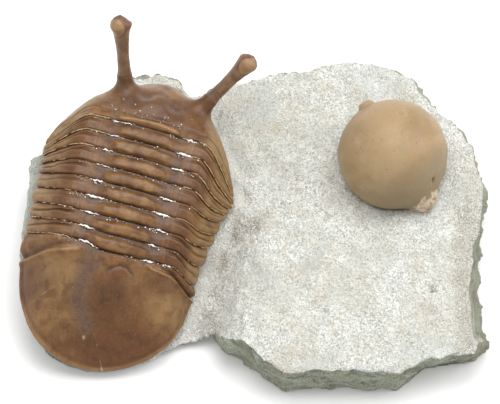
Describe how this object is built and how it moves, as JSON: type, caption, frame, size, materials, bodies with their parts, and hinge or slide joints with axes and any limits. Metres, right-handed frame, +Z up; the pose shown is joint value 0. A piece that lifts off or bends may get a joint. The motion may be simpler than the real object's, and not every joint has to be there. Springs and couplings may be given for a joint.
{
  "type": "stalk-eyed trilobite fossil on limestone block",
  "caption": "Arched stalk-eyed trilobite fossil with free thorax segments, standing proud of a broken limestone block that also holds a round cystoid ball.",
  "frame": {"origin": "middle of the footprint, on the flat sawn base", "axes": "+Z up, +X along the length of the block, +Y towards the trilobite's head"},
  "size_m": [0.1123, 0.0838, 0.0386],
  "materials": {
    "limestone": "matt, granular broken limestone",
    "brown_calcite": "smooth, softly polished brown calcite shell",
    "stalk_calcite": "smooth, softly polished brown calcite",
    "tan_calcite": "smooth, dull tan calcite"
  },
  "bodies": {
    "root": {"matrix": "limestone", "cephalon": "brown_calcite", "eye_stalk_left": "stalk_calcite", "eye_stalk_right": "stalk_calcite", "thorax_segment_1": "brown_calcite", "thorax_segment_2": "brown_calcite", "thorax_segment_3": "brown_calcite", "thorax_segment_4": "brown_calcite", "thorax_segment_5": "brown_calcite", "thorax_segment_6": "brown_calcite", "thorax_segment_7": "brown_calcite", "thorax_segment_8": "brown_calcite", "pygidium": "brown_calcite", "cystoid": "tan_calcite"}
  },
  "joints": []
}
